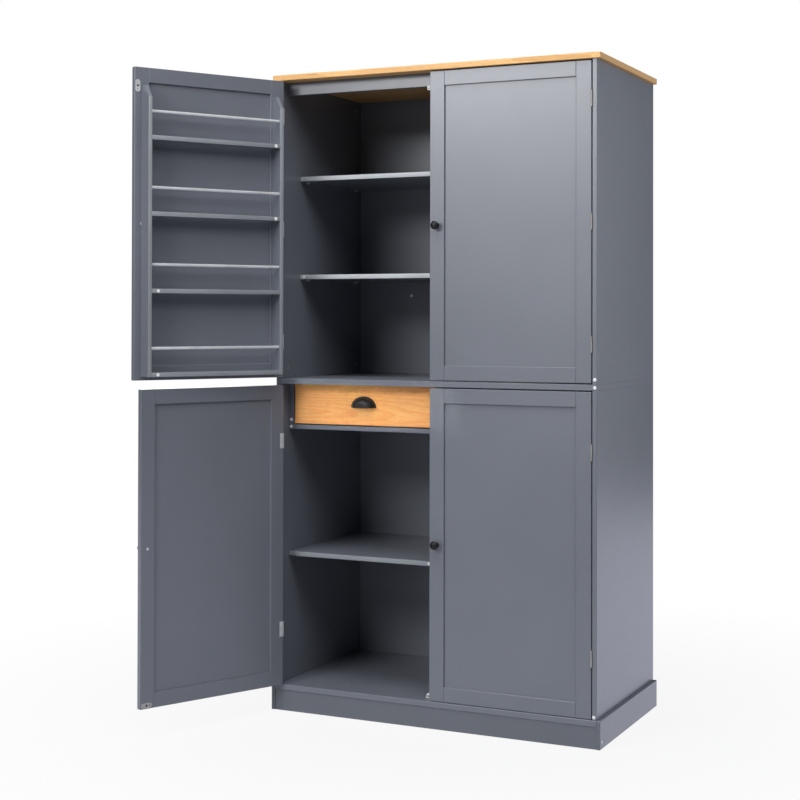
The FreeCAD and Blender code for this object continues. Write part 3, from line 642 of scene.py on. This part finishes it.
# Places read off the photograph, in mm. On both sides: board, distance from the middle, height.
CAPS_ON_BOTH_SIDES = (("upper_right_side", 444.5, 12), ("lower_right_side", 442.5, 7), ("drawer_shelf", 431, 0),
                      ("upper_shelf_low", 426, 0), ("lower_shelf", 20, 0))
CAPS_ON_ONE_SIDE = (("drawer_filler", -430.5, 13), ("middle_panel", 444.5, 0))
BACK_CAP_X, BACK_CAP_Z = -272 * MM, 1114 * MM
PLINTH_CAP_Y, PLINTH_CAP_Z = -228 * MM, 17 * MM
cap_places = [(on_front_edge(*place), OUT) for place in CAPS_ON_ONE_SIDE]
cap_places.append((Vector((BACK_CAP_X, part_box("upper_back_panel")[0].y, BACK_CAP_Z)), OUT))
for side in (-1, 1):
    cap_places += [(on_front_edge(board, side * x, height), OUT) for board, x, height in CAPS_ON_BOTH_SIDES]
    plinth_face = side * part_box("plinth_ends")[1].x
    cap_places.append((Vector((plinth_face, PLINTH_CAP_Y, PLINTH_CAP_Z)), Vector((side, 0, 0))))
set_fittings("carcass_caps", cap_tree, CAP, cap_places, "carcass")

# %% Cam locks
CAM = {"Diameter": 12 * MM, "Edge": 1.4 * MM, "Rise": 0.3 * MM, "Finish": finishes["hinge"]}
low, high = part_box("cam_locks")
CAM_RADIUS, HIGH_CAM_Y = CAM["Diameter"] / 2, -173 * MM
cam_places = []
for z, front_y in ((low.z + CAM_RADIUS, low.y + CAM_RADIUS), (high.z - CAM_RADIUS, HIGH_CAM_Y)):
    for y in (front_y, high.y - CAM_RADIUS):
        cam_places += [(Vector((side * high.x, y, z)), Vector((-side, 0, 0))) for side in (-1, 1)]
set_fittings("cam_lock_ends", cap_tree, CAM, cam_places, "carcass", ["cam_locks"])

# %% [markdown]
# ## Screws
# Small cross-head screws hold the hinges and the rack, and those of the rack are painted over. A second tree sets the
# screw head made above on each point, and turns every head by a random amount from a fixed seed, because no two
# screws in a real cupboard stop alike.

# %% Tree for screws
screw_tree, given = new_tree("driven_screw", {"Head": "Object", "Seed": "Int", "Finish": "Material"})
head = add(screw_tree, "GeometryNodeObjectInfo", {"Object": given["Head"]})
stored = add(screw_tree, "GeometryNodeInputNamedAttribute", {"Name": "facing"}, data_type="FLOAT_VECTOR")
along = add(screw_tree, "FunctionNodeAlignRotationToVector", {"Vector": stored.outputs[0]}, axis="Z")
stop = add(screw_tree, "FunctionNodeRandomValue", {2: 0.0, 3: 2 * math.pi, "Seed": given["Seed"]}, data_type="FLOAT")
spin = add(screw_tree, "ShaderNodeCombineXYZ", {"Z": stop.outputs[1]})
driven = add(screw_tree, "FunctionNodeRotateRotation", {0: along.outputs[0], 1: spin.outputs[0]},
             rotation_space="LOCAL")
many = add(screw_tree, "GeometryNodeInstanceOnPoints", {"Points": given["Geometry"],
                                                        "Instance": head.outputs["Geometry"],
                                                        "Rotation": driven.outputs[0]})
real = add(screw_tree, "GeometryNodeRealizeInstances", {0: many.outputs[0]})
coated = add(screw_tree, "GeometryNodeSetMaterial", {"Geometry": real.outputs[0], "Material": given["Finish"]})
add(screw_tree, "NodeGroupOutput", {0: coated.outputs[0]})
print("screw tree nodes", len(screw_tree.nodes))

# %% Screws on the frame
LEAF_THICK, HINGE_HALF, HINGE_SCREW_STEP = 0.9 * MM, 20 * MM, 12 * MM
FRAME_SCREW_Y, FRAME_SCREW_PROUD = -231.5 * MM, 0.05 * MM
head_mesh = bpy.data.meshes.new("screw_pattern")
pattern = screw_head(SCREW_RADIUS, SCREW_RISE)
bmesh.ops.recalc_face_normals(pattern, faces=pattern.faces)
pattern.to_mesh(head_mesh)
pattern.free()
head_object = bpy.data.objects.new("screw_pattern", head_mesh)
bpy.context.scene.collection.objects.link(head_object)
SCREW = {"Head": head_object, "Seed": 7, "Finish": finishes["steel"]}
hinge_heights = {}
for tier, count in (("upper", 3), ("lower", 2)):
    low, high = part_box(f"{tier}_right_door_hinge_leaves")
    first, last = low.z + HINGE_HALF, high.z - HINGE_HALF
    hinge_heights[tier] = [first + (last - first) * i / (count - 1) for i in range(count)]

# A closed door folds its leaf flat against the frame's leaf, so the screws on the frame are sunk flush.
frame_screws = []
for z in hinge_heights["upper"] + hinge_heights["lower"]:
    for side in (-1, 1):
        x = side * (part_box("upper_right_side")[0].x - LEAF_THICK + SCREW_RISE - FRAME_SCREW_PROUD)
        frame_screws += [(Vector((x, FRAME_SCREW_Y, z + step)), Vector((-side, 0, 0)))
                         for step in (-HINGE_SCREW_STEP, HINGE_SCREW_STEP)]
set_fittings("frame_screws", screw_tree, SCREW, frame_screws, "carcass")

# %% Screws and rack caps on the doors
FLANGE_SCREW_IN, RACK_SCREW_Y, LONE_SCREW_Z = 5 * MM, -198 * MM, 1268 * MM      # the lone one sits between two shelves
LOW_CAP_IN, HIGH_CAP_IN = 18 * MM, 13 * MM      # caps of the two low shelves sit left, those above right
for door in hinges:
    tier = door.split("_")[0]
    low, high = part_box(f"{tier}_right_door_hinge_leaves")
    places = [(Vector((low.x + FLANGE_SCREW_IN, high.y, z + step)), BACK) for z in hinge_heights[tier]
              for step in (-HINGE_SCREW_STEP, HINGE_SCREW_STEP)]
    painted, caps = [], []
    if tier == "upper":
        low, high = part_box("upper_right_door_rack_sides")
        painted = [(Vector((low.x, RACK_SCREW_Y, z)), Vector((-1, 0, 0))) for z in RACK_SHELVES + [LONE_SCREW_Z]]
        painted += [(Vector((high.x, RACK_SCREW_Y, z)), Vector((1, 0, 0))) for z in RACK_SHELVES]
        shelf_low, shelf_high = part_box("upper_right_door_rack_shelves")
        cap_xs = [shelf_low.x + LOW_CAP_IN] * 2 + [shelf_high.x - HIGH_CAP_IN] * 2
        caps = [(Vector((x, shelf_high.y + STRIP_PROUD, z)), BACK) for x, z in zip(cap_xs, RACK_SHELVES)]
    swing = onto_door(door)
    moved = [[(swing @ point, swing.to_3x3() @ facing) for point, facing in group]
             for group in (places, painted, caps)]
    set_fittings(f"{door}_screws", screw_tree, {**SCREW, "Seed": len(door)}, moved[0], door)
    if caps:
        over_painted = {**SCREW, "Finish": finishes["grey_paint"]}
        set_fittings(f"{door}_rack_screws", screw_tree, over_painted, moved[1], door)
        set_fittings(f"{door}_rack_caps", cap_tree, CAP, moved[2], door)
bpy.data.objects.remove(head_object)

# %% [markdown]
# ## Light, floor and white surroundings
# The photograph was lit by a large soft source overhead, which leaves shadows under the shelves of the rack, and by one
# high at the front left, whose sheen fades down the closed doors. Weaker boxes fill in from the front and the right,
# two panels behind the cupboard light its sides and back, and a strip with a grid picks out the drawer. The right side
# is bright only low down, where it mirrors the white floor, so the studio above was darker than the background looks.
# Camera rays therefore see white all round, and mirror rays see white on the floor alone. The shadow by the plinth
# stays faintly visible.

# %% World
def any_ray(tree, *kinds):
    """1 for rays of the named kinds, 0 for all others."""
    path = add(tree, "ShaderNodeLightPath").outputs
    seen = path[kinds[0]]
    for kind in kinds[1:]:
        seen = add(tree, "ShaderNodeMath", {0: seen, 1: path[kind]}, operation="MAXIMUM").outputs[0]
    return seen


AMBIENT = 0.07
world = bpy.data.worlds.new("white_studio")
bpy.context.scene.world = world
world.use_nodes = True
tree = world.node_tree
tree.nodes.clear()
soft = add(tree, "ShaderNodeBackground", {"Color": linear("#F4F6FA"), "Strength": AMBIENT})
white = add(tree, "ShaderNodeBackground", {"Color": linear("#FFFFFF"), "Strength": 1.0})
either = add(tree, "ShaderNodeMixShader", {0: any_ray(tree, "Is Camera Ray", "Is Transmission Ray"),
                                           1: soft.outputs[0], 2: white.outputs[0]})
add(tree, "ShaderNodeOutputWorld", {"Surface": either.outputs[0]})
print("light from all round", AMBIENT)

# %% Floor
FLOOR_HALF = 4.6
# The floor glows white towards the lens. Near the cupboard the glow gives way a little, so that a shadow shows.
SHADOW_NEAR, SHADOW_FAR, GLOW_NEAR = 0.5, 1.8, 0.90
# In the cupboard's right side the floor is mirrored a little brighter and cooler than it looks.
MIRROR_GAIN = 1.15
mirrored = [MIRROR_GAIN * part for part in linear("#ECEFFF")]
floor_mesh = bpy.data.meshes.new("studio_floor")
floor_mesh.from_pydata([(x * FLOOR_HALF, y * FLOOR_HALF, 0) for x, y in ((-1, -1), (1, -1), (1, 1), (-1, 1))], [],
                       [(0, 1, 2, 3)])
floor = bpy.data.objects.new("studio_floor", floor_mesh)
bpy.context.scene.collection.objects.link(floor)
floor_paint, tree, shader, where = new_finish("matt_white_studio_floor", Roughness=0.9)
shader.inputs["Base Color"].default_value = linear("#A2A4A6")
away = add(tree, "ShaderNodeVectorMath", {0: where}, operation="LENGTH")
clear = add(tree, "ShaderNodeMapRange", {"Value": away.outputs["Value"], "From Min": SHADOW_NEAR,
                                         "From Max": SHADOW_FAR, "To Min": GLOW_NEAR, "To Max": 1.0})
share = add(tree, "ShaderNodeMath", {0: clear.outputs[0],
                                     1: any_ray(tree, "Is Camera Ray", "Is Glossy Ray", "Is Transmission Ray")},
            operation="MULTIPLY")
shown = add(tree, "ShaderNodeMix", {0: any_ray(tree, "Is Glossy Ray"), 6: linear("#FFFFFF"), 7: mirrored},
            data_type="RGBA")
glow = add(tree, "ShaderNodeEmission", {"Color": shown.outputs[2], "Strength": 1.0})
mixed = add(tree, "ShaderNodeMixShader", {0: share.outputs[0], 1: shader.outputs[0], 2: glow.outputs[0]})
tree.links.new(mixed.outputs[0], tree.nodes["Material Output"].inputs["Surface"])
floor_mesh.materials.append(floor_paint)
print("floor", 2 * FLOOR_HALF, "m square")

# %% Lamps
# name: place, point it faces, width, height, power
LAMPS = {
    "overhead_softbox": ((0.0, -1.3, 4.2), (-0.1, -0.3, 0.9), 2.6, 1.5, 75.0),
    "front_overhead_softbox": ((0.0, -2.8, 4.0), (-0.1, -0.3, 0.9), 2.6, 1.2, 22.0),
    "right_overhead_softbox": ((2.4, -2.0, 3.6), (0.0, -0.1, 0.9), 2.0, 1.5, 40.0),
    "front_left_softbox": ((-1.3, -4.0, 2.6), (0.1, -0.24, 1.5), 1.9, 0.9, 80.0),
    "front_fill": ((-0.7, -4.4, 1.2), (0.0, -0.24, 0.9), 1.5, 1.0, 8.0),
    "side_panel": ((2.4, 1.9, 1.3), (0.45, 0.0, 1.0), 1.2, 1.8, 29.0),
    "left_back_panel": ((-2.6, 1.9, 2.0), (-0.45, 0.1, 0.9), 1.5, 1.8, 45.0),
    "gridded_strip": ((-0.5, -3.8, 1.0), (-0.16, -0.22, 0.815), 0.42, 0.06, 0.068),
}
for name, (place, target, wide, high, power) in LAMPS.items():
    lamp = bpy.data.lights.new(name, "AREA")
    lamp.shape, lamp.size, lamp.size_y, lamp.energy = "RECTANGLE", wide, high, power
    lamp.color = linear("#F0F5FF" if name == "side_panel" else "#FFFFFF")[:3]     # the side panel is a touch cooler
    lamp.spread = math.radians(3.0 if name == "gridded_strip" else 180.0)     # a grid narrows the strip's beam
    stand = bpy.data.objects.new(name, lamp)
    aim = (Vector(target) - Vector(place)).to_track_quat("-Z", "Y")
    stand.matrix_world = Matrix.Translation(place) @ aim.to_matrix().to_4x4()
    stand.visible_camera = False
    stand.visible_glossy = name != "gridded_strip"     # closed doors would mirror it as a patch
    bpy.context.scene.collection.objects.link(stand)
print("lamps", list(LAMPS))

# %% [markdown]
# ## Last step

# %% Finish
import json
